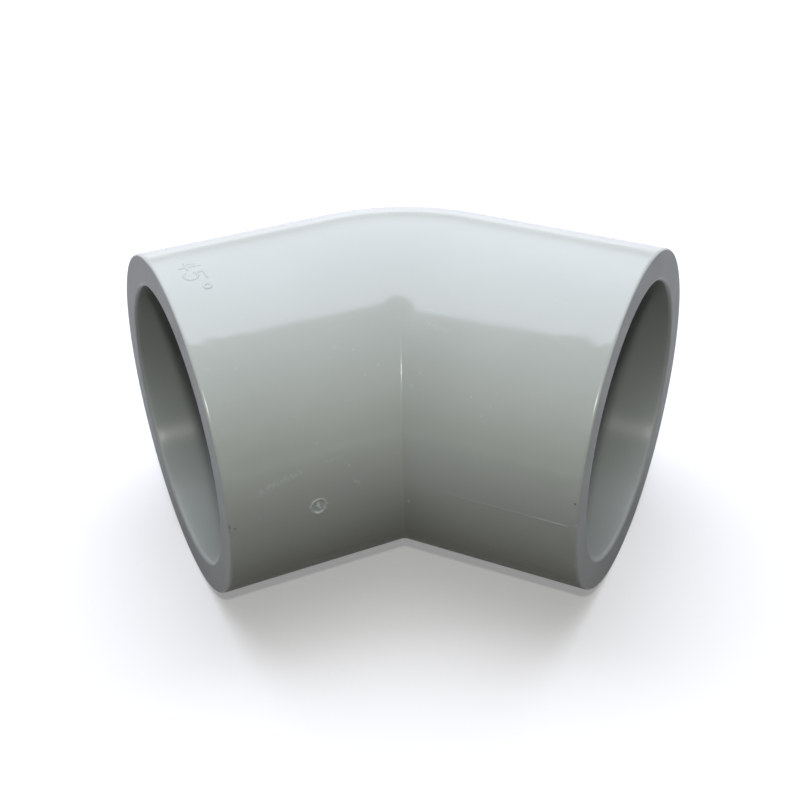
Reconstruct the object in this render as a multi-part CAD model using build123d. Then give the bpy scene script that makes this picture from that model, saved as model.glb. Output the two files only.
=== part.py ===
from build123d import *
import math
import os

# A 45 degree socket elbow for 160 mm pipe, moulded in one piece. Millimetres, +Z up.
# The elbow lies on its side: both socket axes are level, and the inside of the bend faces -Y.
# The model is built about the point where the two axes cross, and moved to its base at the end.

# ---- the pipe and the sockets ----
pipe_diameter = 160.0
pipe_clearance = 0.2          # gap all round a pipe in its socket
socket_depth = 86.0           # mouth to pipe stop
stop_height = 5.2             # step that the pipe's end butts against
stop_chamfer = 1.0
lead_in_radius = 2.2          # rounding of the bore's mouth

# ---- the body ----
bend_angle = 45.0
centre_to_mouth = 139.5       # crossing of the axes to each mouth
sweep_radius = 72.0           # centreline radius of the swept side of the bend
mouth_wall = 18.55            # wall at the mouths
outer_flare = 1.75            # how much the outside radius shrinks from a mouth to the bend
crease_radius = 3.0           # fillet in the crease inside the bend
crease_fade = 5.0             # the crease has faded where the bend is this many fillet radii wide
rim_radius = 1.0              # rounding round the outside of each mouth

# ---- the moulding's marks ----
gate_setback = 50.5           # gate mark to the left mouth
gate_diameter = 9.5
gate_depth = 0.6
gate_stub_diameter = 2.6
gate_stub_height = 0.5
seam_width = 0.5              # parting line, where the two halves of the mould met
seam_height = 0.15
seam_end_gap = 5.0            # the parting line stops this far short of the mouths

# ---- the raised angle mark ----
mark_setback = 19.1           # the mark's middle to the left mouth
mark_turn = 87.5              # its place round the leg, from the inside of the bend upwards
mark_height = 11.5            # height of a figure
mark_width = 7.6
mark_pitch = 10.4
mark_stroke = 1.2
mark_relief = 0.4
mark_depth = 1.0              # how far the figures reach into the wall

# ---- worked out from the sizes above ----
socket_radius = pipe_diameter / 2 + pipe_clearance
waterway_radius = socket_radius - stop_height
mouth_radius = socket_radius + mouth_wall
bend_radius = mouth_radius - outer_flare
half_bend = bend_angle / 2
half_cos = math.cos(math.radians(half_bend))
half_sin = math.sin(math.radians(half_bend))
tangent_place = sweep_radius * half_sin / half_cos    # where each leg leaves the swept bend
pivot_y = -sweep_radius / half_cos                    # the upright axis that the bend turns about
crease_place = bend_radius * half_sin / half_cos      # the crease's lowest point, measured along a leg
stop_place = centre_to_mouth - socket_depth           # crossing of the axes to each pipe stop
gate_place = centre_to_mouth - gate_setback
mark_place = centre_to_mouth - mark_setback
LEFT, RIGHT = -1, 1
tolerance = 0.001


def leg_axis(side):
    """Unit vector from the crossing towards a mouth."""
    return Vector(side * half_cos, -half_sin, 0)


def inward(side):
    """Unit vector square to a leg, level, towards the inside of the bend."""
    return Vector(-side * half_sin, -half_cos, 0)


def leg_plane(side, place):
    """Plane across a leg, with Z out of the mouth and X towards the inside of the bend."""
    axis = leg_axis(side)
    return Plane(origin=axis * place, x_dir=inward(side), z_dir=axis)


def outer_radius(place):
    """Outside radius of a leg at a distance from the crossing."""
    share = (place - tangent_place) / (centre_to_mouth - tangent_place)
    return bend_radius + outer_flare * share


def straight(side, start, end, start_radius, end_radius):
    """Round or slightly conical bar along a leg."""
    plane = leg_plane(side, start)
    if start_radius == end_radius:
        return Solid.make_cylinder(start_radius, end - start, plane)
    return Solid.make_cone(start_radius, end_radius, end - start, plane)


def swept_bend(radius):
    """The bend's outer side: the part of the disc beyond the pivot, turned through the bend."""
    disc = Circle(radius).moved(Location((sweep_radius, 0)))
    beyond_pivot = Rectangle(2 * (sweep_radius + radius), 2 * radius, align=(Align.MIN, Align.CENTER))
    section_plane = Plane(origin=(0, pivot_y, 0), x_dir=(0, 1, 0), z_dir=(1, 0, 0))
    pivot = Axis((0, pivot_y, 0), (0, 0, 1))
    turned = revolve(section_plane * (disc & beyond_pivot), pivot, bend_angle)
    return turned.rotate(pivot, -half_bend)


def outer_leg(side, start, end):
    """The outside of a leg between two distances from the crossing."""
    return straight(side, start, end, outer_radius(start), outer_radius(end))


def crease_filler():
    """Block round the crease inside the bend, with the crease filleted."""
    fade_out = sweep_radius - crease_fade * crease_radius     # here the swept side is wider than the fillet
    height = 2 * math.sqrt(bend_radius**2 - fade_out**2)
    leg_end = crease_place + crease_fade * crease_radius
    legs = outer_leg(LEFT, -crease_radius, leg_end) + outer_leg(RIGHT, -crease_radius, leg_end)
    near_crease = Box(
        2 * crease_fade * crease_radius,
        bend_radius,
        height,
        align=(Align.CENTER, Align.MAX, Align.CENTER),
    )
    block = legs & Pos(0, (crease_radius - fade_out) / half_cos, 0) * near_crease
    crease = block.edges().filter_by_position(Axis.X, -tolerance, tolerance)
    return block.fillet(crease_radius, crease)


def outer_body():
    """The solid outside of the elbow: two legs, the swept bend and the filleted crease."""
    legs = [outer_leg(side, tangent_place, centre_to_mouth) for side in (LEFT, RIGHT)]
    return legs[0] + legs[1] + swept_bend(bend_radius) + crease_filler()


def waterway():
    """The hollow of the elbow: a socket in each leg, and the swept way between their stops."""
    hollow = swept_bend(waterway_radius)
    for side in (LEFT, RIGHT):
        hollow += straight(side, tangent_place, centre_to_mouth, waterway_radius, waterway_radius)
        chamfer_end = waterway_radius + stop_chamfer
        hollow += straight(side, stop_place - stop_chamfer, stop_place, waterway_radius, chamfer_end)
        hollow += straight(side, stop_place, centre_to_mouth, socket_radius, socket_radius)
    return hollow


def mouth_edges(body, side):
    """The two round edges of a mouth, the bore's first."""
    middle = leg_axis(side) * centre_to_mouth
    circles = body.edges().filter_by(GeomType.CIRCLE)
    mouth = circles.filter_by(lambda edge: (edge.arc_center - middle).length < tolerance)
    return mouth.sort_by(SortBy.RADIUS)


def round_mouths(body):
    """Round the inner and outer edges of both mouths."""
    for side in (LEFT, RIGHT):
        body = body.fillet(lead_in_radius, [mouth_edges(body, side)[0]])
        body = body.fillet(rim_radius, [mouth_edges(body, side)[-1]])
    return body


def surface_plane(side, place, turn):
    """Plane touching a leg: Z out of the wall, Y along the leg towards the bend."""
    across = leg_plane(side, place)
    lean = math.radians(turn)
    outward = inward(side) * math.cos(lean) + Vector(0, 0, 1) * math.sin(lean)
    origin = across.origin + outward * outer_radius(place)
    return Plane(origin=origin, x_dir=outward.cross(leg_axis(side)), z_dir=outward)


def gate_mark():
    """The hollow left by the moulding gate, and the stub of its runner."""
    surface = surface_plane(LEFT, gate_place, 0)
    hollow = surface.offset(-gate_depth) * extrude(Circle(gate_diameter / 2), 2 * gate_depth)
    stub_length = gate_depth + gate_stub_height
    stub = surface.offset(-2 * gate_depth) * extrude(Circle(gate_stub_diameter / 2), stub_length)
    return hollow, stub


def parting_line():
    """Thin raised line where the mould halves met, in the level plane of the two axes."""
    ends = centre_to_mouth - seam_end_gap
    bend_top = bend_radius + seam_height
    ends_top = outer_radius(ends) + seam_height
    raised = swept_bend(bend_top)
    for side in (LEFT, RIGHT):
        raised += straight(side, tangent_place, ends, bend_top, ends_top)
    slab = Box(4 * centre_to_mouth, 4 * centre_to_mouth, seam_width)
    return raised & slab


def stroke(*points):
    """One raised stroke along points given as shares of a figure's half width and half height."""
    scaled = [(across * mark_width / 2, up * mark_height / 2) for across, up in points]
    return trace(Polyline(*scaled), line_width=mark_stroke)


def figure_four():
    """Outline of a raised 4."""
    upright = stroke((0.3, -1), (0.3, 1))
    slope = stroke((0.3, 1), (-1, -0.35), (1, -0.35))
    return upright + slope


def figure_five():
    """Outline of a raised 5."""
    flag = stroke((0.9, 1), (-0.75, 1), (-0.85, 0.1))
    bowl = CenterArc((-0.1 * mark_width, -0.175 * mark_height), 0.325 * mark_height, -140, 265)
    return flag + trace(bowl, line_width=mark_stroke)


def degree_sign():
    """Outline of a raised degree sign."""
    radius = mark_width / 4
    ring = Circle(radius + mark_stroke / 2) - Circle(radius - mark_stroke / 2)
    return Pos(0, mark_height / 2 - radius) * ring


def angle_mark():
    """The bend's angle in raised figures near the left mouth, read round the leg."""
    mark = []
    pitch_turn = math.degrees(mark_pitch / outer_radius(mark_place))
    for step, figure in zip((1, 0, -1), (figure_four(), figure_five(), degree_sign())):
        place = surface_plane(LEFT, mark_place, mark_turn + step * pitch_turn)
        mark.append(place.offset(-mark_depth) * extrude(figure, mark_depth + mark_relief))
    return mark


def elbow():
    """The whole elbow, about the crossing of its axes."""
    body = round_mouths(outer_body() + parting_line() - waterway())
    gate_hollow, gate_stub = gate_mark()
    body = body - gate_hollow + gate_stub
    for figure in angle_mark():
        body += figure
    return body


def on_base(body):
    """Move a body so that the middle of its underside is the origin."""
    box = body.bounding_box()
    return body.moved(Location((-box.center().X, -box.center().Y, -box.min.Z)))


os.makedirs("parts", exist_ok=True)
export_step(on_base(elbow()), "parts/elbow_body.step")
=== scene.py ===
"""Builds the look of a grey PVC pipe elbow round its CAD frame, with a plain studio to show it in.

Lengths are in metres, in the CAD frame: +Z up, the elbow lying on its side, the inside of its bend facing -Y.
"""
import math

import bpy
import numpy as np
from bpy.props import FloatProperty, FloatVectorProperty, PointerProperty
from mathutils import Matrix, Vector


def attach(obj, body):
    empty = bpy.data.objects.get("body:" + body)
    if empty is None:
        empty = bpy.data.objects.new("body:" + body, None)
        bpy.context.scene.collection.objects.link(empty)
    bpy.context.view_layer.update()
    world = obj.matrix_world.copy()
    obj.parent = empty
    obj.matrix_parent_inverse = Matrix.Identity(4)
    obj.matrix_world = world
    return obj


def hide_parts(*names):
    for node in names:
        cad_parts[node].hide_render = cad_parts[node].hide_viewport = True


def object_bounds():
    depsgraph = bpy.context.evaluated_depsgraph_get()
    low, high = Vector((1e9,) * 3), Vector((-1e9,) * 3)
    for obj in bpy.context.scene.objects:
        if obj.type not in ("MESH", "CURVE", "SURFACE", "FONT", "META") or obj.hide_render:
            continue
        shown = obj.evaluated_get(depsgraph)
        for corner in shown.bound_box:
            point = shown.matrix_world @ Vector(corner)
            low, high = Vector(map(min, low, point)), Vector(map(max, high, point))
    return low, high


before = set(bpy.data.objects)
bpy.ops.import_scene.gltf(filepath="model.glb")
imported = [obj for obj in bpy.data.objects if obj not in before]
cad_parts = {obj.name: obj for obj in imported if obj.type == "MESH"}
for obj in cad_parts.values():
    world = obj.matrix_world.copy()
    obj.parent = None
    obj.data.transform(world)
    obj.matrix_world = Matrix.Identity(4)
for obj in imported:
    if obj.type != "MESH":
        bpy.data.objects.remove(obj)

bl_info = {
    "name": "PVC Pipe Elbow",
    "version": (1, 0, 0),
    "blender": (4, 5, 0),
    "location": "3D View > Sidebar > Elbow",
    "description": "Models a moulded 45 degree pipe elbow and the studio it is shown in",
    "category": "Add Mesh",
}

CAD_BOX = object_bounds()
MM = 0.001
LEFT, RIGHT = -1, 1
PLASTIC_IOR = 1.54
SCUFF_SPREAD = 3.4 * MM         # how far a scuff's ragged outline strays
GATE_LIP_HEIGHT = 0.32 * MM
GATE_LIP_WIDTH = 0.62 * MM
GATE_EDGE = 0.8 * MM            # over how much the gate mark's hollow falls away inside the lip
TORN_HEIGHT = 0.05 * MM         # roughness of the torn bottom of the gate mark
DETAIL_STEP = 0.26 * MM         # spacing of the mesh where it has raised figures
SEAM_FADE = 15 * MM             # over how much the parting line fades in
SCRATCH_PALENESS = 0.03
SCRATCH_DULLNESS = 0.15

# Distances from a mouth: where a change of the surface starts, and where it is full.
RIPPLE_FADE = (45 * MM, 5 * MM)
RIM_FADE = (2.6 * MM, 1.4 * MM)
LEAD_IN_FADE = (3.0 * MM, 2.0 * MM)

# Places in the studio, seen from the middle of the elbow's underside.
BACK_PANEL_EDGES = ((0, -0.05, 1.5), (-0.4, 3.15, 0.55))
BACK_PANEL_WIDTH = 2.0
FRONT_LAMP_EDGES = ((0.015, -0.755, 0.806), (0.015, -0.739, 0.822))
FRONT_LAMP_WIDTH = 0.04
CAMERA_AIM = (-2.06, -20.0, -9.43)    # millimetres from the crossing of the elbow's axes


def length(name, description, default):
    """A size in metres."""
    shown = {"precision": 5, "subtype": "DISTANCE", "unit": "LENGTH"}
    return FloatProperty(name=name, description=description, default=default, **shown)


def turn(name, description, degrees):
    """An angle, given in degrees."""
    shown = {"subtype": "ANGLE", "unit": "ROTATION"}
    return FloatProperty(name=name, description=description, default=math.radians(degrees), **shown)


def colour(name, description, default):
    """A colour without alpha."""
    shown = {"size": 3, "min": 0, "max": 1, "subtype": "COLOR"}
    return FloatVectorProperty(name=name, description=description, default=default, **shown)


def factor(name, description, default, low=0.0, high=1.0):
    """A plain number between two limits."""
    return FloatProperty(name=name, description=description, default=default, min=low, max=high)


# ---- sizes and colours that a user may change ----


class ElbowSizes(bpy.types.PropertyGroup):
    """Sizes of the elbow's body."""

    bend_angle: turn("Bend", "Angle that the elbow turns a pipe through", 45)
    centre_to_mouth: length("Centre to mouth", "Crossing of the two axes to each mouth", 0.1395)
    sweep_radius: length("Sweep radius", "Centreline radius of the swept side of the bend", 0.072)
    mouth_radius: length("Mouth radius", "Outside radius at the mouths", 0.09875)
    flare: length("Flare", "How much the outside shrinks from a mouth to the bend", 0.00175)
    crease_radius: length("Crease radius", "Rounding of the crease inside the bend", 0.002)
    rim_radius: length("Rim radius", "Rounding round the outside of a mouth", 0.001)
    rim_run: length("Rim run", "How far the rim's rounding reaches back along the leg", 0.002)
    lead_in_radius: length("Lead-in radius", "Rounding of the bore at a mouth", 0.0022)
    socket_radius: length("Socket radius", "Radius of the bore that takes the pipe", 0.0802)
    socket_depth: length("Socket depth", "Mouth to pipe stop", 0.086)
    stop_height: length("Stop height", "Step that the pipe's end butts against", 0.0052)
    stop_chamfer: length("Stop chamfer", "Chamfer on the step's edge", 0.001)


class ElbowMarks(bpy.types.PropertyGroup):
    """Sizes of what the mould left on the elbow, and of its raised angle mark."""

    seam_width: length("Parting line width", "Width of the raised parting line", 0.0005)
    seam_height: length("Parting line height", "Height of the raised parting line", 0.00015)
    seam_start: length("Parting line start", "Crossing of the axes to where the line stands out", 0.06)
    seam_end_gap: length("Parting line end gap", "The parting line stops this far short of a mouth", 0.005)
    gate_setback: length("Gate setback", "Gate mark to the left mouth", 0.0505)
    gate_diameter: length("Gate diameter", "Width of the round gate mark", 0.0095)
    gate_depth: length("Gate depth", "Depth of the round gate mark", 0.0006)
    gate_stub_diameter: length("Gate stub diameter", "Width of the broken runner stub", 0.0026)
    figure_setback: length("Figure setback", "Middle of the raised figures to the left mouth", 0.0191)
    figure_turn: turn("Figure place", "Place of the figures round the leg, from the inside of the bend", 87.5)
    figure_height: length("Figure height", "Height of a raised figure", 0.0115)
    figure_width: length("Figure width", "Width of a raised figure", 0.0076)
    figure_pitch: length("Figure pitch", "Spacing of the raised figures", 0.0104)
    figure_stroke: length("Figure stroke", "Width of a figure's stroke", 0.0012)
    figure_relief: length("Figure relief", "How far the figures stand out", 0.0004)


class ElbowFinish(bpy.types.PropertyGroup):
    """Colours and gloss of the plastic."""

    skin: colour("Skin", "Colour of the moulded outside", (0.37, 0.399, 0.368))
    end_face: colour("End faces", "Colour of the flat faces round the mouths", (0.213, 0.231, 0.219))
    bore: colour("Bore", "Colour of the bores", (0.335, 0.36, 0.345))
    # Also the colour of the painted highlight on the parting line and of the gate mark's paleness, which is
    # in part a painted glint.
    speck: colour("Specks", "Colour of the pale specks and scuffs", (0.68, 0.75, 0.78))
    skin_roughness: factor("Skin roughness", "Roughness of the moulded outside", 0.12)
    rim_roughness: factor("Rim roughness", "Roughness of the crease and of the mouths' outer edges", 0.24)
    bore_roughness: factor("Bore roughness", "Roughness of the bores", 0.3)
    bore_rings: factor("Bore rings", "How much the bore's fine rings draw highlights out along it", 0.7)
    face_roughness: factor("Face roughness", "Roughness of the flat end faces", 0.42)


class StudioSettings(bpy.types.PropertyGroup):
    """Floor, lights and camera."""

    floor_colour: colour("Floor", "Colour of the floor where it is seen", (0.62, 0.62, 0.62))
    floor_glow: factor("Floor glow", "White that the floor shows by itself", 0.28)
    glow_start: length("Glow start", "Middle of the floor to where its glow starts to rise", 0.84)
    glow_end: length("Glow end", "Middle of the floor to where it is plain white", 2.24)
    reflected_glow_start: length("Reflected glow start", "The glow start that the gloss shows", 0.21)
    floor_bounce: colour("Floor bounce", "Colour of the light that the floor returns", (0.075, 0.069, 0.057))
    floor_size: length("Floor size", "Length of the floor's sides", 14.0)
    back_panel: factor("Back panel", "Brightness of the upper panel at its near edge", 3.32, 0, 10)
    back_panel_tint: colour("Back panel tint", "Colour of the upper panel", (0.81, 0.835, 1.0))
    front_lamp: factor("Front lamp", "Brightness of the small lamp above the camera", 930, 0, 5000)
    front_lamp_tint: colour("Front lamp tint", "Colour of the small lamp above the camera", (1.0, 1.0, 0.93))
    room_light: factor("Room light", "Brightness of the room overhead", 2.85, 0, 10)
    room_falloff: factor("Room falloff", "How quickly the room darkens from overhead to the floor", 8, 0, 20)
    lens: FloatProperty(name="Lens", description="Focal length in mm on a 36 mm sensor", default=76.32)
    distance: length("Camera distance", "Camera to the point it looks at", 0.9916)
    azimuth: turn("Azimuth", "Camera's place round the elbow, from the front", 0.928)
    elevation: turn("Elevation", "Camera's height angle", 37.487)
    roll: turn("Roll", "Camera's turn about its own line of sight", -1.144)


# ---- the elbow's form ----


class ElbowForm:
    """Works out the elbow's surfaces from its sizes."""

    def __init__(self, sizes, marks):
        self.sizes = sizes
        self.marks = marks
        self.half_bend = sizes.bend_angle / 2
        self.half_cos = math.cos(self.half_bend)
        self.half_sin = math.sin(self.half_bend)
        self.half_tan = self.half_sin / self.half_cos
        self.tangent_place = sizes.sweep_radius * self.half_tan
        self.bend_radius = sizes.mouth_radius - sizes.flare
        self.waterway_radius = sizes.socket_radius - sizes.stop_height
        self.stop_place = sizes.centre_to_mouth - sizes.socket_depth
        self.gate_place = sizes.centre_to_mouth - marks.gate_setback
        self.figure_place = sizes.centre_to_mouth - marks.figure_setback
        lowest, _ = CAD_BOX
        rim_place = sizes.centre_to_mouth - sizes.rim_radius
        rim_reach = self.outer_radius(sizes.centre_to_mouth) - sizes.rim_radius
        front = rim_place * self.half_sin + rim_reach * self.half_cos + sizes.rim_radius
        self.crossing = np.array([0.0, lowest.y + front, lowest.z + self.outer_radius(rim_place)])

    def outer_radius(self, place):
        """Outside radius of a leg at a distance from the crossing."""
        share = (place - self.tangent_place) / (self.sizes.centre_to_mouth - self.tangent_place)
        return self.bend_radius + self.sizes.flare * np.clip(share, 0, 1)

    def turn_radius(self, reach, least):
        """Radius of the turn for a line of the wall that lies reach towards the inside of the bend."""
        gap = self.sizes.sweep_radius - reach - least
        blend = least / 2
        return least + (gap + np.sqrt(gap * gap + blend * blend)) / 2

    def on_leg(self, side, place, radius, around):
        """Points of a leg: place is along its axis, around its turn from the inside of the bend upwards."""
        axis = np.array([side * self.half_cos, -self.half_sin, 0])
        inward = np.array([-side * self.half_sin, -self.half_cos, 0])
        reach = radius * np.cos(around)
        rise = radius * np.sin(around)
        points = place[:, None] * axis + reach[:, None] * inward + rise[:, None] * np.array([0, 0, 1])
        return points + self.crossing

    def on_skin(self, side, setback, degrees):
        """One point of a leg's skin, from its millimetres from the mouth and its turn in degrees."""
        place = np.array([self.sizes.centre_to_mouth - setback * MM])
        return Vector(self.on_leg(side, place, self.outer_radius(place), np.radians([degrees]))[0])

    def on_turn(self, side, share, radius, turn_radius, lift, around):
        """Points of the bend: share runs from 0 in the middle to 1 where the leg starts."""
        angle = share * self.half_bend
        reach = radius * np.cos(around)
        middle = -(reach + turn_radius) / self.half_cos
        across = turn_radius - lift * np.cos(around)
        rise = (radius + lift) * np.sin(around)
        points = np.stack([side * across * math.sin(angle), middle + across * math.cos(angle), rise], axis=1)
        return points + self.crossing


def fine_steps(start, end, coarse, fine_spans):
    """Places from start to end, closer together within each (from, to, step) span."""
    places = [start]
    tiny = 1e-5
    while places[-1] < end - tiny:
        here = places[-1]
        step = min([step for low, high, step in fine_spans if low - tiny <= here < high], default=coarse)
        room = min([low - here for low, _, _ in fine_spans if low > here + tiny], default=coarse)
        places.append(min(here + step, here + room, end))
    return np.array(places)


def smooth(values):
    """Eased step from 0 to 1."""
    values = np.clip(values, 0, 1)
    return values * values * (3 - 2 * values)


def to_segment(x, y, start, end):
    """Distance of each point from a straight stroke."""
    run = np.subtract(end, start)
    along = np.clip(((x - start[0]) * run[0] + (y - start[1]) * run[1]) / np.dot(run, run), 0, 1)
    return np.hypot(x - start[0] - along * run[0], y - start[1] - along * run[1])


def to_arc(x, y, centre, radius, start, sweep):
    """Distance of each point from a round stroke. Angles are in degrees."""
    dx, dy = x - centre[0], y - centre[1]
    angle = np.mod(np.degrees(np.arctan2(dy, dx)) - start, 360)
    distance = np.abs(np.hypot(dx, dy) - radius)
    ends = [math.radians(start), math.radians(start + sweep)]
    to_ends = [np.hypot(dx - radius * math.cos(end), dy - radius * math.sin(end)) for end in ends]
    return np.where(angle <= sweep, distance, np.minimum(*to_ends))


def figure_four(x, y, half_width, half_height):
    """Distance from the strokes of a 4."""
    upright = to_segment(x, y, (0.3 * half_width, -half_height), (0.3 * half_width, half_height))
    slope = to_segment(x, y, (0.3 * half_width, half_height), (-half_width, -0.35 * half_height))
    bar = to_segment(x, y, (-half_width, -0.35 * half_height), (half_width, -0.35 * half_height))
    return np.minimum(np.minimum(upright, slope), bar)


def figure_five(x, y, half_width, half_height):
    """Distance from the strokes of a 5."""
    flag = to_segment(x, y, (0.9 * half_width, half_height), (-0.75 * half_width, half_height))
    upright = to_segment(x, y, (-0.75 * half_width, half_height), (-0.85 * half_width, 0.1 * half_height))
    bowl = to_arc(x, y, (-0.2 * half_width, -0.35 * half_height), 0.65 * half_height, -140, 265)
    return np.minimum(np.minimum(flag, upright), bowl)


def degree_sign(x, y, half_width, half_height):
    """Distance from the ring of a degree sign."""
    radius = half_width / 2
    return to_arc(x, y, (0, half_height - radius), radius, 0, 360)


def figures_lift(form, place, around):
    """Height of the raised angle mark on the left leg."""
    marks = form.marks
    radius = form.outer_radius(form.figure_place)
    lift = np.zeros_like(place)
    for step, figure in ((1, figure_four), (0, figure_five), (-1, degree_sign)):
        centre = marks.figure_turn + step * marks.figure_pitch / radius
        x = -radius * (around - centre)
        y = form.figure_place - place
        distance = figure(x, y, marks.figure_width / 2, marks.figure_height / 2)
        edge = marks.figure_stroke / 3
        raised = smooth(((marks.figure_stroke + edge) / 2 - distance) / edge)
        lift = np.maximum(lift, marks.figure_relief * raised)
    return lift


def seam_lift(form, side, place, around):
    """Height of the parting line. It is only faint on the left leg, and clearest towards the right mouth."""
    marks = form.marks
    radius = form.outer_radius(place)
    offset = np.abs(np.mod(around + math.pi / 2, math.pi) - math.pi / 2) * radius
    profile = smooth((marks.seam_width * 0.7 - offset) / (marks.seam_width * 0.45))
    ends = smooth((form.sizes.centre_to_mouth - marks.seam_end_gap - place) / marks.seam_width + 0.5)
    strength = 0.75 if side == RIGHT else 0.2
    past_bend = 0.1 + 0.55 * smooth((place - marks.seam_start) / SEAM_FADE)
    past_bend += 0.75 * smooth((place - 1.8 * marks.seam_start) / SEAM_FADE)
    return marks.seam_height * strength * profile * ends * past_bend


def gate_marks(form, place, around):
    """Depth and paleness of the round gate mark: its torn lip, its hollow and the stub of the runner. The
    paleness of the lip and stub is in part a painted glint.
    """
    marks = form.marks
    along = place - form.gate_place
    across = np.sin(around) * form.outer_radius(place)
    facing = np.cos(around) > 0
    distance = np.hypot(along, across)
    angle = np.arctan2(across, along)
    uneven = -0.04 * np.cos(2 * angle) + 0.03 * np.sin(3 * angle + 0.6) + 0.02 * np.sin(7 * angle)
    ring = marks.gate_diameter / 2 * (1 + uneven)
    lip = np.exp(-(((distance - ring * 0.94) / GATE_LIP_WIDTH) ** 2))
    torn_up = np.exp(-(((angle - 1.1) / 0.8) ** 2)) + 1.1 * np.exp(-(((angle + 1.4) / 0.5) ** 2))
    lip *= 0.4 + 0.6 * torn_up + 0.15 * np.sin(9 * angle)
    hollow = smooth((ring * 0.86 - distance) / GATE_EDGE)
    stub_shape = np.hypot(along * 1.5 - across * 0.25, across * 0.6)
    stub_edge = marks.gate_stub_diameter * 0.8 * (1 + 0.15 * np.sin(5 * angle) + 0.1 * np.sin(3 * angle + 1))
    stub = smooth((stub_edge - stub_shape) / (1.1 * MM))
    torn = np.sin(along / (0.4 * MM) + 1.5 * np.sin(across / MM)) * np.sin(across / (0.5 * MM)) * hollow
    tail = np.exp(-(((along + ring * 1.25) / (0.9 * MM)) ** 2) - ((across - 0.4 * MM) / (0.5 * MM)) ** 2)
    lift = GATE_LIP_HEIGHT * lip - marks.gate_depth * (0.6 * hollow - 0.55 * stub) + TORN_HEIGHT * torn
    # The lip and stub are made pale, in part as a painted glint on them.
    pale = np.clip(lip + 0.7 * stub + 0.3 * tail + 0.1 * hollow * (1 + torn), 0, 1)
    return lift * facing, pale * facing


KNOCKS = (
    # side, distance from the mouth, turn in degrees, size, depth
    (LEFT, 0.6 * MM, 0.8, 0.9 * MM, 0.5 * MM),
    (LEFT, 3.8 * MM, 1.5, 0.5 * MM, 0.12 * MM),
    (LEFT, 0.8 * MM, -3.0, 0.6 * MM, 0.15 * MM),
    (RIGHT, 2.7 * MM, 11.0, 0.5 * MM, 0.25 * MM),
    (RIGHT, 1.0 * MM, 38.0, 0.9 * MM, 0.1 * MM),
)


def knock_lift(form, side, place, around):
    """Depth of the small knocks near the mouths."""
    lift = np.zeros_like(place)
    for knocked_side, setback, degrees, size, depth in KNOCKS:
        if side != knocked_side:
            continue
        along = place - (form.sizes.centre_to_mouth - setback)
        across = (around - math.radians(degrees)) * form.sizes.mouth_radius
        lift -= depth * np.exp(-(along**2 + across**2) / size**2)
    return lift


SPECKS = (
    # side, millimetres from the mouth, turn in degrees, half width in millimetres, paleness (below 0 is dark)
    (LEFT, 0.3, 2.6, 1.2, -0.25),
    (LEFT, 0.4, 1.9, 1.2, -0.3),
    (LEFT, 0.5, 1.2, 1.2, -0.42),
    (LEFT, 0.5, 0.5, 1.2, -0.45),
    (LEFT, 0.5, -0.2, 1.1, -0.25),
    (LEFT, 3.5, 0.6, 1.3, -0.3),
    (LEFT, 13, 41.5, 0.9, 0.08),
    (LEFT, 21.5, 50.5, 1.0, 0.16),
    (LEFT, 45, 32, 0.9, 0.08),
    (LEFT, 54, 22, 1.3, 0.1),
    (LEFT, 62.5, 19, 0.8, 0.12),
    (LEFT, 71.5, 46.5, 1.0, 0.07),
    (LEFT, 76, 49.5, 2.2, 0.06),
    (LEFT, 85, 47.5, 0.7, 0.26),
    (LEFT, 87.5, 39, 0.6, 0.32),
    (LEFT, 96, 41, 1.1, 0.13),
    (LEFT, 97.5, 11.5, 1.2, 0.12),
    (RIGHT, 0.6, 1, 1.0, 0.4),
    (RIGHT, 2.3, 9, 1.0, -0.55),
    (RIGHT, 50, -20, 0.9, 0.4),
    (RIGHT, 53.5, 37.5, 0.7, 0.12),
    (RIGHT, 55, 33, 1.1, 0.1),
    (RIGHT, 59, 29.5, 0.8, 0.2),
    (RIGHT, 66.5, 34.5, 0.7, 0.25),
    (RIGHT, 96.5, -8, 1.2, 0.5),
    (RIGHT, 97, 38, 1.0, 0.12),
    (RIGHT, 100, 33.5, 1.2, 0.1),
    (RIGHT, 102, 39, 0.6, 0.1),
)

SCUFFS = (
    # side, both ends as (millimetres from the mouth, turn in degrees), half width in millimetres, paleness
    (LEFT, (20, 11), (31, 13), 2.8, 0.22),
    (LEFT, (31, 13), (42, 14), 2.2, 0.26),
    (LEFT, (57, 15.5), (66, 15.5), 1.2, 0.2),
    (LEFT, (68, 13.5), (69.5, 11.5), 1.3, 0.34),
    (LEFT, (71.5, 6.5), (73.5, 4.5), 1.7, 0.4),
    (LEFT, (16.5, 1.5), (20, 1), 0.8, 0.22),
    (LEFT, (4, 52.5), (10, 52), 0.6, 0.14),
    (LEFT, (10, 52), (15.5, 51), 0.6, 0.12),
    (LEFT, (35, 45.5), (37, 44.5), 1.8, 0.05),
    (RIGHT, (90, 0.5), (92, 0), 0.8, 0.14),
    (RIGHT, (88.5, 53), (102, 54), 1.4, 0.1),
    (RIGHT, (90, 58), (103.5, 58.5), 1.2, 0.1),
)


def near_turn(around):
    """The same turn between -180 and 180 degrees, so that 0 is the inside of the bend."""
    return (around + math.pi) % (2 * math.pi) - math.pi


def skin_marks(form, side, place, around):
    """How far the moulded skin stands off its plain form, and how pale it is there: a painted highlight along
    the parting line, and the gate mark's paleness, which is in part a painted glint.
    """
    near = near_turn(around)
    seam = seam_lift(form, side, place, near)
    lift = seam + knock_lift(form, side, place, near)
    # Painted highlight: the parting line is made paler along its ridge.
    pale = 0.24 * seam / form.marks.seam_height
    if side == LEFT:
        gate_height, gate_pale = gate_marks(form, place, near)
        lift += gate_height + figures_lift(form, place, near)
        pale = np.maximum(pale, gate_pale)
    return lift, pale


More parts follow.
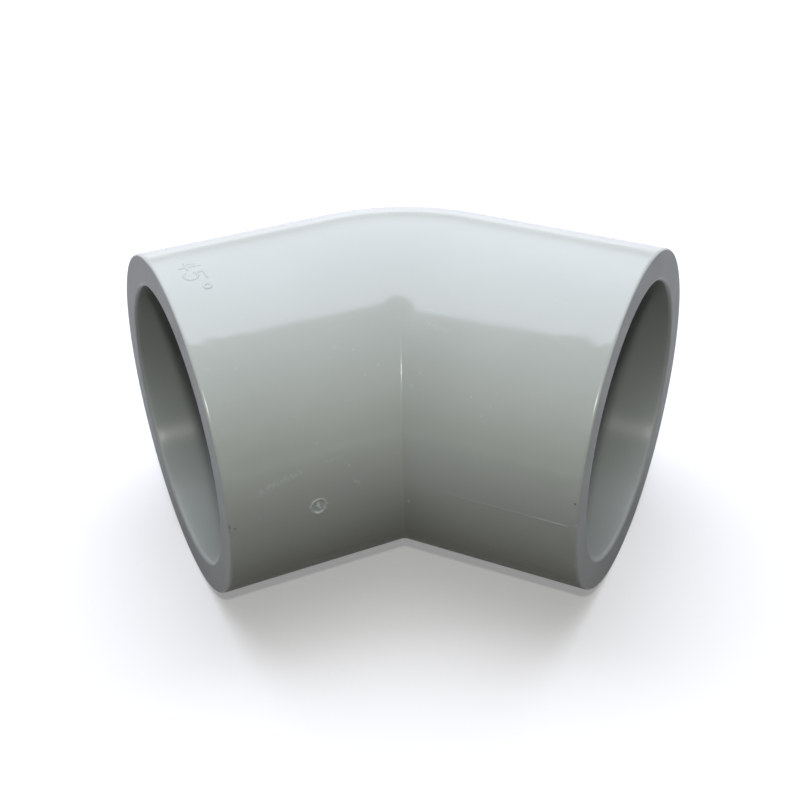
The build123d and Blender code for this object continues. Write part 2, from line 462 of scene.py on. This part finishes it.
def around_steps(form):
    """Turns round the legs, closer together where the moulding has fine detail."""
    marks = form.marks
    spread = (1.7 * marks.figure_pitch) / form.bend_radius
    gate = marks.gate_diameter * 0.62 / form.bend_radius
    seam = marks.seam_width / form.bend_radius
    spans = [
        (-seam, seam, seam / 5),
        (-gate, gate, 0.3 * MM / form.bend_radius),
        (marks.figure_turn - spread, marks.figure_turn + spread, DETAIL_STEP / form.bend_radius),
        (math.pi - seam, math.pi + seam, seam / 5),
    ]
    steps = fine_steps(-math.pi / 2, 1.5 * math.pi, math.radians(1.25), spans)
    return steps[:-1]


def skin_places(form, side):
    """Distances along a leg's outside, from where it is past the crease to its rounded rim."""
    marks = form.marks
    start = form.stop_place
    end = form.sizes.centre_to_mouth - form.sizes.rim_run
    spans = [(end - 3 * MM, end, 0.4 * MM), (end - marks.seam_end_gap, end - 2 * MM, 0.5 * MM)]
    if side == LEFT:
        gate = marks.gate_diameter * 0.62
        figure = marks.figure_height * 0.6
        spans.append((form.gate_place - gate, form.gate_place + gate, 0.28 * MM))
        spans.append((form.figure_place - figure, form.figure_place + figure, DETAIL_STEP))
    return fine_steps(start, end, 4 * MM, spans)


def skin_row(form, side, place, around):
    """One row of a leg's skin, with its marks."""
    lift, pale = skin_marks(form, side, place, around)
    return form.on_leg(side, place, form.outer_radius(place) + lift, around), pale


def skin_rows(form, side, around):
    """Rows of the outside of one half, from the middle of the bend to the rim's rounding."""
    radius = np.full_like(around, form.bend_radius)
    for _ in range(4):
        reach = radius * np.cos(around)
        turn_radius = form.turn_radius(reach, form.sizes.crease_radius)
        start = (reach + turn_radius) * form.half_tan
        radius = form.outer_radius(start)
    rows = []
    for share in np.linspace(0, 1, 15):
        lift = seam_lift(form, side, start, around) * share
        rows.append((form.on_turn(side, share, radius, turn_radius, lift, around), np.zeros_like(around)))
    places = skin_places(form, side)
    between = [start + (places[0] - start) * share for share in np.linspace(0, 1, 8)[1:-1]]
    rows += [skin_row(form, side, place, around) for place in between]
    rows += [skin_row(form, side, np.full_like(around, place), around) for place in places]
    return rows


def arc_points(centre, radius, start, end, count):
    """(place, radius) points on a rounding. Angles are in degrees from the leg's axis."""
    angles = np.radians(np.linspace(start, end, count))
    return [(centre[0] + radius * math.cos(a), centre[1] + radius * math.sin(a)) for a in angles]


def rim_profile(form):
    """(place, radius) points of a rim's outer rounding, after the skin's last row."""
    sizes = form.sizes
    place, radius = sizes.centre_to_mouth - sizes.rim_run, sizes.mouth_radius - sizes.rim_radius
    angles = np.radians(np.linspace(90, 0, 14)[1:])
    return [(place + sizes.rim_run * math.cos(a), radius + sizes.rim_radius * math.sin(a)) for a in angles]


def face_profile(form):
    """(place, radius) points of the flat end face."""
    sizes = form.sizes
    outer = sizes.mouth_radius - sizes.rim_radius
    inner = sizes.socket_radius + sizes.lead_in_radius
    return [(sizes.centre_to_mouth, radius) for radius in np.linspace(outer, inner, 9)[1:]]


def bore_profile(form):
    """(place, radius) points of the lead-in, the socket, the pipe stop and the start of the waterway."""
    sizes = form.sizes
    lead_in = sizes.lead_in_radius
    lead_in_centre = (sizes.centre_to_mouth - lead_in, sizes.socket_radius + lead_in)
    points = arc_points(lead_in_centre, lead_in, 0, -90, 8)[1:]
    points += [(place, sizes.socket_radius) for place in np.linspace(points[-1][0], form.stop_place, 18)[1:]]
    points += [
        (form.stop_place, sizes.socket_radius - 0.3 * MM),
        (form.stop_place, form.waterway_radius + sizes.stop_chamfer),
        (form.stop_place - sizes.stop_chamfer, form.waterway_radius),
    ]
    return points


def waterway_rows(form, side, around):
    """Rows of the waterway of one half, from the pipe stop to the middle of the bend."""
    radius = np.full_like(around, form.waterway_radius)
    turn_radius = form.turn_radius(radius * np.cos(around), form.sizes.crease_radius)
    start = (radius * np.cos(around) + turn_radius) * form.half_tan
    entry = form.stop_place - form.sizes.stop_chamfer
    flat = np.zeros_like(around)
    shares = np.linspace(0, 1, 7)[1:-1]
    rows = [(form.on_leg(side, entry + (start - entry) * share, radius, around), flat) for share in shares]
    for share in np.linspace(1, 0, 13):
        rows.append((form.on_turn(side, share, radius, turn_radius, flat, around), flat))
    return rows


def rim_rows(form, side, around):
    """Rows of the rim's rounding, with its knocks."""
    rows = []
    for place, radius in rim_profile(form):
        places = np.full_like(around, place)
        lift = knock_lift(form, side, places, near_turn(around))
        rows.append((form.on_leg(side, places, radius + lift, around), np.zeros_like(around)))
    return rows


def round_rows(form, side, profile, around):
    """Rows of a plain round profile."""
    rows = []
    for place, radius in profile:
        points = form.on_leg(side, np.full_like(around, place), np.full_like(around, radius), around)
        rows.append((points, np.zeros_like(around)))
    return rows


SKIN, FACE, BORE = 0, 1, 2


def half_rows(form, side, around):
    """All rows of one half, each with its finish, from the middle of its outside to that of its waterway."""
    parts = (
        (SKIN, skin_rows(form, side, around) + rim_rows(form, side, around)),
        (FACE, round_rows(form, side, face_profile(form), around)),
        (BORE, round_rows(form, side, bore_profile(form), around) + waterway_rows(form, side, around)),
    )
    return [(finish, *row) for finish, rows in parts for row in rows]


def elbow_mesh(form):
    """One closed mesh for the whole moulding."""
    around = around_steps(form)
    right = half_rows(form, RIGHT, around)
    left = half_rows(form, LEFT, around)[::-1]
    right_rows = right[:-1]
    left_rows = left[:-1]
    rows = np.array([points for _, points, _ in right_rows + left_rows])
    pale = np.array([paleness for _, _, paleness in right_rows + left_rows])
    finishes = [right[i + 1][0] for i in range(len(right_rows))] + [left[i][0] for i in range(len(left_rows))]
    count, columns = rows.shape[:2]
    index = np.arange(count * columns).reshape(count, columns)
    next_row = np.roll(index, -1, axis=0)
    corners = [index, next_row, np.roll(next_row, -1, axis=1), np.roll(index, -1, axis=1)]
    quads = np.stack(corners, axis=2).reshape(-1, 4)
    mesh = bpy.data.meshes.new("elbow_moulding")
    mesh.vertices.add(count * columns)
    mesh.vertices.foreach_set("co", rows.astype(np.float32).ravel())
    mesh.loops.add(quads.size)
    mesh.loops.foreach_set("vertex_index", quads.astype(np.int32).ravel())
    mesh.polygons.add(len(quads))
    mesh.polygons.foreach_set("loop_start", np.arange(0, quads.size, 4, dtype=np.int32))
    mesh.polygons.foreach_set("material_index", np.repeat(finishes, columns).astype(np.int32))
    mesh.update(calc_edges=True)
    mesh.validate()
    mesh.polygons.foreach_set("use_smooth", np.ones(len(quads), dtype=bool))
    mesh.attributes.new("pale", "FLOAT", "POINT").data.foreach_set("value", pale.astype(np.float32).ravel())
    add_skin_map(form, mesh, rows, around, quads)
    return mesh


def add_skin_map(form, mesh, rows, around, quads):
    """UV map in metres: U runs along the moulding, V round it."""
    step = np.linalg.norm(np.diff(rows, axis=0), axis=2).mean(axis=1)
    along = np.concatenate([[0], np.cumsum(step)])
    u = np.repeat(along, len(around))
    v = np.tile(around * form.bend_radius, len(rows))
    uv = np.stack([u, v], axis=1)[quads.ravel()]
    seam_jump = 2 * math.pi * form.bend_radius
    v_corners = uv[:, 1].reshape(-1, 4)
    wraps = np.ptp(v_corners, axis=1) > seam_jump / 2
    wrapped = v_corners[wraps]
    v_corners[wraps] = np.where(wrapped < seam_jump / 4, wrapped + seam_jump, wrapped)
    layer = mesh.uv_layers.new(name="along_and_around")
    layer.data.foreach_set("uv", uv.astype(np.float32).ravel())


# ---- the plastic's finish, in which noise scales are features to the metre ----


class Nodes:
    """Short way to add and link the nodes of one tree."""

    def __init__(self, tree):
        self.tree = tree

    def put(self, socket, value):
        """Set a socket to a plain value, or link it."""
        if isinstance(value, bpy.types.NodeSocket):
            self.tree.links.new(value, socket)
        else:
            socket.default_value = value

    def add(self, kind, settings=None, **inputs):
        """Add a node, with its settings and inputs."""
        node = self.tree.nodes.new("ShaderNode" + kind)
        for name, value in (settings or {}).items():
            setattr(node, name, value)
        for name, value in inputs.items():
            self.put(node.inputs[name.replace("_", " ")], value)
        return node

    def noise(self, coordinates, scale, detail=2.0, roughness=0.5):
        """Noise between 0 and 1."""
        node = self.add("TexNoise", Vector=coordinates, Scale=scale, Detail=detail, Roughness=roughness)
        return node.outputs["Fac"]

    def ramp(self, value, low, high, to_low=0.0, to_high=1.0):
        """Stretch the values between low and high, and hold them outside."""
        node = self.add("MapRange", {"clamp": True}, Value=value)
        for name, number in (("From Min", low), ("From Max", high), ("To Min", to_low), ("To Max", to_high)):
            node.inputs[name].default_value = number
        return node.outputs["Result"]

    def maths(self, operation, first, second):
        """One sum on two values."""
        node = self.add("Math", {"operation": operation})
        self.put(node.inputs[0], first)
        self.put(node.inputs[1], second)
        return node.outputs["Value"]

    def mix(self, share, first, second):
        """Mix two colours."""
        node = self.add("Mix", {"data_type": "RGBA"})
        self.put(node.inputs["Factor"], share)
        self.put(node.inputs["A"], first if isinstance(first, bpy.types.NodeSocket) else (*first, 1))
        self.put(node.inputs["B"], second if isinstance(second, bpy.types.NodeSocket) else (*second, 1))
        return node.outputs["Result"]

    def vectors(self, operation, first, second, output="Vector"):
        """One sum on two vectors."""
        node = self.add("VectorMath", {"operation": operation})
        self.put(node.inputs[0], first)
        self.put(node.inputs[1], second)
        return node.outputs[output]

    def stretched(self, coordinates, scale, angle=0.0):
        """Coordinates turned about Z and scaled on each axis."""
        node = self.add("Mapping", Vector=coordinates, Scale=scale)
        node.inputs["Rotation"].default_value = (0, 0, angle)
        return node.outputs["Vector"]

    def bump(self, height, strength, distance, normal=None):
        """Bump from a height between 0 and 1 that stands for a distance in metres."""
        node = self.add("Bump", Height=height, Strength=strength, Distance=distance)
        if normal is not None:
            self.put(node.inputs["Normal"], normal)
        return node.outputs["Normal"]


class Surface(Nodes):
    """The nodes of one material, round a Principled shader."""

    def __init__(self, name):
        self.material = bpy.data.materials.new(name)
        self.material.use_nodes = True
        super().__init__(self.material.node_tree)
        self.tree.nodes.clear()
        self.shader = self.tree.nodes.new("ShaderNodeBsdfPrincipled")
        output = self.tree.nodes.new("ShaderNodeOutputMaterial")
        self.tree.links.new(self.shader.outputs["BSDF"], output.inputs["Surface"])

    def use(self, name, value):
        """Set or link one of the shader's inputs."""
        self.put(self.shader.inputs[name], value)


def plastic(name):
    """The nodes of a PVC material."""
    nodes = Surface(name)
    nodes.use("IOR", PLASTIC_IOR)
    return nodes


def shade(tint, share):
    """A colour made lighter or darker."""
    return tuple(min(1.0, channel * share) for channel in tint)


def from_crossing(nodes, form, place):
    """X and Y of a place, from the crossing of the axes."""
    split = nodes.add("SeparateXYZ", Vector=nodes.vectors("SUBTRACT", place, tuple(form.crossing)))
    return split.outputs["X"], split.outputs["Y"]


def leg_places(nodes, form, place):
    """Distance from the nearer mouth, and which side of the middle: -1 or 1."""
    x, y = from_crossing(nodes, form, place)
    out = nodes.maths("MULTIPLY", nodes.maths("ABSOLUTE", x, 0.0), form.half_cos)
    forward = nodes.maths("MULTIPLY", y, -form.half_sin)
    setback = nodes.maths("SUBTRACT", form.sizes.centre_to_mouth, nodes.maths("ADD", out, forward))
    return setback, nodes.maths("SIGN", x, 0.0)


def crease_shade(nodes, form, place):
    """Share of colour left beside the crease, where painted shade makes the right leg a little darker in
    place of the shade from the other leg; and 1 on the crease.
    """
    x, y = from_crossing(nodes, form, place)
    beside = nodes.ramp(x, 40 * MM, 0.8 * MM)
    past_crease = nodes.ramp(x, -0.3 * MM, 0.5 * MM)
    inside = nodes.ramp(y, -64 * MM, -84 * MM)
    shaded = nodes.maths("MULTIPLY", nodes.maths("MULTIPLY", beside, past_crease), inside)
    on_crease = nodes.ramp(nodes.maths("ABSOLUTE", x, 0.0), 2.0 * MM, 1.2 * MM)
    # Painted shade: up to 8% darker on the right leg beside the crease.
    share = nodes.maths("SUBTRACT", 1.0, nodes.maths("MULTIPLY", shaded, 0.08))
    return share, nodes.maths("MULTIPLY", on_crease, inside)


def specks(nodes, coordinates, scale, size, chance):
    """Small round specks, 1 in a speck and 0 outside. Chance is the share of cells that hold one."""
    cells = nodes.add("TexVoronoi", {"feature": "F1"}, Vector=coordinates, Scale=scale)
    channels = nodes.add("SeparateColor", Color=cells.outputs["Color"])
    chosen = nodes.maths("LESS_THAN", channels.outputs["Red"], chance)
    spot = nodes.ramp(cells.outputs["Distance"], size, size * 0.5)
    return nodes.maths("MULTIPLY", chosen, spot)


def scratches(nodes, coordinates, angle, scale, width, patches):
    """Fine hairline scratches in one direction, only in scattered patches."""
    turned = nodes.stretched(coordinates, (scale * 0.04, scale, scale), angle)
    line = nodes.noise(turned, 1.0, 1.0)
    line = nodes.maths("ABSOLUTE", nodes.maths("SUBTRACT", line, 0.5), 0.0)
    line = nodes.ramp(line, width, 0.0)
    where = nodes.ramp(nodes.noise(coordinates, patches, 1.0), 0.6, 0.66)
    return nodes.maths("MULTIPLY", line, where)


def known_specks(nodes, form, place):
    """Small specks in known places, each made paler or darker by its listed paleness; the dark ones lie on
    the knocks near the mouths.
    """
    total = 0.0
    for side, setback, degrees, width, paleness in SPECKS:
        distance = nodes.vectors("DISTANCE", place, form.on_skin(side, setback, degrees), "Value")
        mark = nodes.ramp(distance, width * MM, width * MM / 3, 0.0, paleness)
        total = nodes.maths("ADD", total, mark)
    return total


def known_scuffs(nodes, form, place):
    """Broken, ragged scuffs that handling left in known places, as pale as each one is."""
    ragged = nodes.add("VectorMath", {"operation": "SCALE"}, Scale=SCUFF_SPREAD)
    nodes.put(ragged.inputs[0], nodes.add("TexNoise", Vector=place, Scale=480.0, Detail=3.0).outputs["Color"])
    strayed = nodes.vectors("ADD", place, ragged.outputs["Vector"])
    moved = nodes.vectors("SUBTRACT", strayed, [SCUFF_SPREAD / 2] * 3)
    palest = 0.0
    for side, start, end, width, paleness in SCUFFS:
        first, last = form.on_skin(side, *start), form.on_skin(side, *end)
        run = last - first
        from_first = nodes.vectors("SUBTRACT", moved, first)
        along = nodes.vectors("DOT_PRODUCT", from_first, run, "Value")
        share = nodes.maths("DIVIDE", along, run.length_squared)
        nearest = nodes.add("VectorMath", {"operation": "SCALE"}, Scale=nodes.ramp(share, 0.0, 1.0))
        nodes.put(nearest.inputs[0], run)
        distance = nodes.vectors("DISTANCE", from_first, nearest.outputs["Vector"], "Value")
        mark = nodes.ramp(distance, width * MM, width * MM / 3, 0.0, paleness)
        palest = nodes.maths("MAXIMUM", palest, mark)
    patches = nodes.ramp(nodes.noise(place, 750.0, 2.0), 0.42, 0.58, 0.1, 1.0)
    clusters = nodes.ramp(nodes.noise(place, 260.0, 1.0), 0.4, 0.55, 0.25, 1.0)
    return nodes.maths("MULTIPLY", palest, nodes.maths("MULTIPLY", patches, clusters))


def skin_finish(finish, form):
    """Moulded outside: soft gloss, flow clouds, ripples near the mouths, specks, scuffs and scratches, with
    painted shade beside the crease, a painted highlight on the parting line and a gate mark whose paleness is
    in part a painted glint.
    """
    nodes = plastic("grey_pvc_skin")
    place = nodes.add("TexCoord").outputs["Object"]
    along = nodes.add("UVMap", {"uv_map": "along_and_around"}).outputs["UV"]
    clouds = nodes.noise(place, 14.0, 3.0)
    base = nodes.mix(nodes.ramp(clouds, 0.3, 0.7), shade(finish.skin, 0.97), shade(finish.skin, 1.03))
    painted_crease_shade, on_crease = crease_shade(nodes, form, place)
    # Painted shade: the right leg is darkened a little beside the crease.
    base = nodes.mix(painted_crease_shade, (0, 0, 0), base)
    marked = nodes.add("Attribute", {"attribute_name": "pale"}).outputs["Fac"]
    pale = nodes.maths("ADD", specks(nodes, place, 55.0, 0.035, 0.1), marked)
    rising = scratches(nodes, along, 0.5, 900, 0.012, 34)
    falling = scratches(nodes, along, -0.9, 1100, 0.01, 41)
    scratched = nodes.maths("ADD", rising, falling)
    pale = nodes.maths("ADD", pale, known_specks(nodes, form, place))
    pale = nodes.maths("ADD", pale, known_scuffs(nodes, form, place))
    scratch_paleness = nodes.maths("MULTIPLY", scratched, SCRATCH_PALENESS)
    # Wear marks, together with the painted highlight on the parting line and the gate mark's paleness, which
    # is in part a painted glint.
    wear_and_painted_sheen = nodes.ramp(nodes.maths("ADD", pale, scratch_paleness), 0.0, 1.0)
    # Darker where the paleness is below 0, as on the dark specks at the knocks.
    base = nodes.mix(nodes.ramp(pale, 0.0, -1.0), base, (0, 0, 0))
    nodes.use("Base Color", nodes.mix(wear_and_painted_sheen, base, finish.speck))
    setback, _ = leg_places(nodes, form, place)
    low, high = finish.skin_roughness * 0.9, finish.skin_roughness * 1.15
    gloss = nodes.ramp(nodes.noise(place, 45.0, 3.0), 0.3, 0.7, low, high)
    on_edge = nodes.maths("MAXIMUM", nodes.ramp(setback, *RIM_FADE), on_crease)
    duller = nodes.maths("MULTIPLY", on_edge, finish.rim_roughness - finish.skin_roughness)
    gloss = nodes.maths("ADD", gloss, duller)
    duller = nodes.maths("MULTIPLY", scratched, SCRATCH_DULLNESS)
    nodes.use("Roughness", nodes.maths("ADD", gloss, duller))
    waves = nodes.bump(nodes.noise(place, 28.0, 1.0), 0.35, 0.4 * MM)
    ripples = nodes.maths("MULTIPLY", nodes.noise(place, 75.0, 1.0), nodes.ramp(setback, *RIPPLE_FADE))
    waves = nodes.bump(ripples, 1.0, 0.4 * MM, waves)
    grain = nodes.bump(nodes.noise(place, 900.0, 2.0), 0.06, 0.02 * MM, waves)
    nodes.use("Normal", nodes.bump(wear_and_painted_sheen, 0.3, 0.03 * MM, grain))
    return nodes.material


def face_finish(finish):
    """Flat end faces: duller, with a fine grain."""
    nodes = plastic("grey_pvc_end_face")
    place = nodes.add("TexCoord").outputs["Object"]
    clouds = nodes.noise(place, 60.0, 4.0)
    base = nodes.mix(nodes.ramp(clouds, 0.3, 0.7), shade(finish.end_face, 0.95), shade(finish.end_face, 1.05))
    pale = specks(nodes, place, 90.0, 0.05, 0.12)
    nodes.use("Base Color", nodes.mix(pale, base, finish.speck))
    low, high = finish.face_roughness * 0.9, finish.face_roughness * 1.1
    nodes.use("Roughness", nodes.ramp(clouds, 0.3, 0.7, low, high))
    nodes.use("Normal", nodes.bump(nodes.noise(place, 700.0, 3.0), 0.25, 0.03 * MM))
    return nodes.material


def bore_finish(finish, form):
    """Bores: fine rings left by the mould's turned cores, which draw highlights out along the leg."""
    nodes = plastic("grey_pvc_bore")
    along = nodes.add("UVMap", {"uv_map": "along_and_around"}).outputs["UV"]
    place = nodes.add("TexCoord").outputs["Object"]
    setback, side = leg_places(nodes, form, place)
    out = nodes.add("CombineXYZ", X=nodes.maths("MULTIPLY", side, form.half_cos), Y=-form.half_sin)
    nodes.use("Tangent", out.outputs["Vector"])
    nodes.use("Anisotropic", finish.bore_rings)
    rings = nodes.noise(nodes.stretched(along, (300, 4, 1)), 1.0, 0.0)
    clouds = nodes.ramp(nodes.noise(place, 30.0, 2.0), 0.3, 0.7)
    base = nodes.mix(clouds, shade(finish.bore, 0.98), shade(finish.bore, 1.02))
    nodes.use("Base Color", base)
    low, high = finish.bore_roughness * 0.92, finish.bore_roughness * 1.08
    gloss = nodes.ramp(rings, 0.1, 0.9, low, high)
    duller = nodes.ramp(setback, *LEAD_IN_FADE, 0.0, finish.face_roughness - finish.bore_roughness)
    nodes.use("Roughness", nodes.maths("ADD", gloss, duller))
    nodes.use("Normal", nodes.bump(nodes.noise(place, 35.0, 1.0), 0.2, 0.3 * MM))
    return nodes.material


# ---- operators ----


class ELBOW_OT_add_moulding(bpy.types.Operator):
    """Add the elbow's moulding in place of its plain CAD solid"""

    bl_idname = "elbow.add_moulding"
    bl_label = "Add Moulding"

    def execute(self, context):
        scene = context.scene
        form = ElbowForm(scene.elbow_sizes, scene.elbow_marks)
        moulding = bpy.data.objects.new("elbow_moulding", elbow_mesh(form))
        scene.collection.objects.link(moulding)
        finish = scene.elbow_finish
        for material in (skin_finish(finish, form), face_finish(finish), bore_finish(finish, form)):
            moulding.data.materials.append(material)
        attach(moulding, "root")
        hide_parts("elbow_body")
        return {"FINISHED"}


def seen_share(nodes):
    """1 for rays that see the surroundings, straight or in gloss or glass; 0 for those that light things."""
    path = nodes.add("LightPath")
    share = path.outputs["Is Camera Ray"]
    for name in ("Is Glossy Ray", "Is Transmission Ray"):
        share = nodes.maths("MAXIMUM", share, path.outputs[name])
    return share


def floor_material(studio):
    """Pale floor that keeps the elbow's shadow, and throws little light back on the elbow."""
    nodes = Surface("studio_floor")
    seen = seen_share(nodes)
    nodes.use("Base Color", nodes.mix(seen, studio.floor_bounce, studio.floor_colour))
    nodes.use("Roughness", 1.0)
    nodes.use("Specular IOR Level", 0.0)
    nodes.use("Emission Color", (1, 1, 1, 1))
    away = nodes.vectors("DISTANCE", nodes.add("TexCoord").outputs["Object"], (0, 0, 0), "Value")
    glow = nodes.ramp(away, studio.glow_start, studio.glow_end, studio.floor_glow, 1.0)
    reflected_glow = nodes.ramp(away, studio.reflected_glow_start, studio.glow_end, 0.0, 1.0)
    direct = nodes.add("LightPath").outputs["Is Camera Ray"]
    direct_glow = nodes.maths("MULTIPLY", direct, glow)
    other_glow = nodes.maths("MULTIPLY", nodes.maths("SUBTRACT", seen, direct), reflected_glow)
    nodes.use("Emission Strength", nodes.maths("ADD", direct_glow, other_glow))
    return nodes.material


def add_floor(studio):
    """Plain floor under the elbow."""
    half = studio.floor_size / 2
    mesh = bpy.data.meshes.new("studio_floor")
    corners = [(-half, -half, 0), (half, -half, 0), (half, half, 0), (-half, half, 0)]
    mesh.from_pydata(corners, [], [(0, 1, 2, 3)])
    floor = bpy.data.objects.new("studio_floor", mesh)
    floor.data.materials.append(floor_material(studio))
    bpy.context.scene.collection.objects.link(floor)


def add_panel(name, edges, width, brightness, tint, fading=False):
    """Flat soft light between two level edges, which faces down. A fading one is dark at its second edge."""
    near_edge, far_edge = Vector(edges[0]), Vector(edges[1])
    slope = far_edge - near_edge
    light = bpy.data.lights.new(name, "AREA")
    light.shape = "RECTANGLE"
    light.size, light.size_y = width, slope.length
    light.energy = brightness * math.pi * width * slope.length
    light.color = tint
    if fading:
        light.use_nodes = True
        nodes = Nodes(light.node_tree)
        across = nodes.add("SeparateXYZ", Vector=nodes.add("NewGeometry").outputs["Parametric"])
        fade = nodes.maths("SUBTRACT", 1.0, across.outputs["Y"])
        nodes.put(nodes.tree.nodes["Emission"].inputs["Strength"], fade)
    panel = bpy.data.objects.new(name, light)
    across = Vector((0, 0, 1)).cross(slope).normalized()
    along = slope.normalized()
    facing = Matrix((across, along, across.cross(along))).transposed()
    if facing.col[2].z < 0:
        facing = Matrix((-across, along, -across.cross(along))).transposed()
    panel.matrix_world = Matrix.Translation((near_edge + far_edge) / 2) @ facing.to_4x4()
    panel.visible_camera = False
    bpy.context.scene.collection.objects.link(panel)


def add_room(studio):
    """White surroundings, which light the elbow softly from overhead, and less from lower down."""
    world = bpy.data.worlds.new("studio")
    world.use_nodes = True
    nodes = Nodes(world.node_tree)
    background = nodes.tree.nodes["Background"]
    background.inputs["Color"].default_value = (1, 1, 1, 1)
    direction = nodes.add("SeparateXYZ", Vector=nodes.add("TexCoord").outputs["Generated"])
    height = nodes.maths("MAXIMUM", direction.outputs["Z"], 0.0)
    softened = nodes.maths("POWER", height, studio.room_falloff)
    strength = nodes.add("MapRange", {"clamp": False}, Value=seen_share(nodes))
    nodes.put(strength.inputs["To Min"], nodes.maths("MULTIPLY", softened, studio.room_light))
    strength.inputs["To Max"].default_value = 1.0
    nodes.put(background.inputs["Strength"], strength.outputs["Result"])
    bpy.context.scene.world = world


def add_camera(form, studio):
    """Camera that looks down at the inside of the bend."""
    data = bpy.data.cameras.new("camera")
    data.lens = studio.lens
    camera = bpy.data.objects.new("camera", data)
    azimuth, elevation = studio.azimuth, studio.elevation
    level = math.cos(elevation)
    back = Vector((math.sin(azimuth) * level, -math.cos(azimuth) * level, math.sin(elevation)))
    aim = Vector(form.crossing) + Vector(CAMERA_AIM) * MM
    right = Vector((math.cos(azimuth), math.sin(azimuth), 0))
    up = back.cross(right)
    facing = Matrix((right, up, back)).transposed() @ Matrix.Rotation(studio.roll, 3, "Z")
    camera.matrix_world = Matrix.Translation(aim + back * studio.distance) @ facing.to_4x4()
    bpy.context.scene.collection.objects.link(camera)
    bpy.context.scene.camera = camera


class ELBOW_OT_add_studio(bpy.types.Operator):
    """Add the floor, the soft lights and the camera"""

    bl_idname = "elbow.add_studio"
    bl_label = "Add Studio"

    def execute(self, context):
        scene = context.scene
        studio = scene.elbow_studio
        form = ElbowForm(scene.elbow_sizes, scene.elbow_marks)
        add_floor(studio)
        panel_light = (studio.back_panel, studio.back_panel_tint)
        lamp_light = (studio.front_lamp, studio.front_lamp_tint)
        add_panel("back_panel", BACK_PANEL_EDGES, BACK_PANEL_WIDTH, *panel_light, fading=True)
        add_panel("front_lamp", FRONT_LAMP_EDGES, FRONT_LAMP_WIDTH, *lamp_light)
        add_room(studio)
        add_camera(form, studio)
        scene.view_settings.view_transform = "Standard"
        return {"FINISHED"}


class ELBOW_PT_panel(bpy.types.Panel):
    """Panel that lists the elbow's operators and sizes"""

    bl_idname = "ELBOW_PT_panel"
    bl_label = "Pipe Elbow"
    bl_space_type = "VIEW_3D"
    bl_region_type = "UI"
    bl_category = "Elbow"

    def draw(self, context):
        layout = self.layout
        layout.operator("elbow.add_moulding")
        layout.operator("elbow.add_studio")
        for name in ("elbow_sizes", "elbow_marks", "elbow_finish", "elbow_studio"):
            group = getattr(context.scene, name)
            box = layout.box()
            for key in group.__annotations__:
                box.prop(group, key)


SETTINGS = {
    "elbow_sizes": ElbowSizes,
    "elbow_marks": ElbowMarks,
    "elbow_finish": ElbowFinish,
    "elbow_studio": StudioSettings,
}
CLASSES = (*SETTINGS.values(), ELBOW_OT_add_moulding, ELBOW_OT_add_studio, ELBOW_PT_panel)


def register():
    """Register the classes and their settings."""
    for cls in CLASSES:
        bpy.utils.register_class(cls)
    for name, group in SETTINGS.items():
        setattr(bpy.types.Scene, name, PointerProperty(type=group))


def unregister():
    """Remove the settings and the classes."""
    for name in SETTINGS:
        delattr(bpy.types.Scene, name)
    for cls in reversed(CLASSES):
        bpy.utils.unregister_class(cls)


def main():
    """Build the elbow and its studio."""
    register()
    bpy.ops.elbow.add_moulding()
    bpy.ops.elbow.add_studio()


if __name__ == "__main__":
    main()
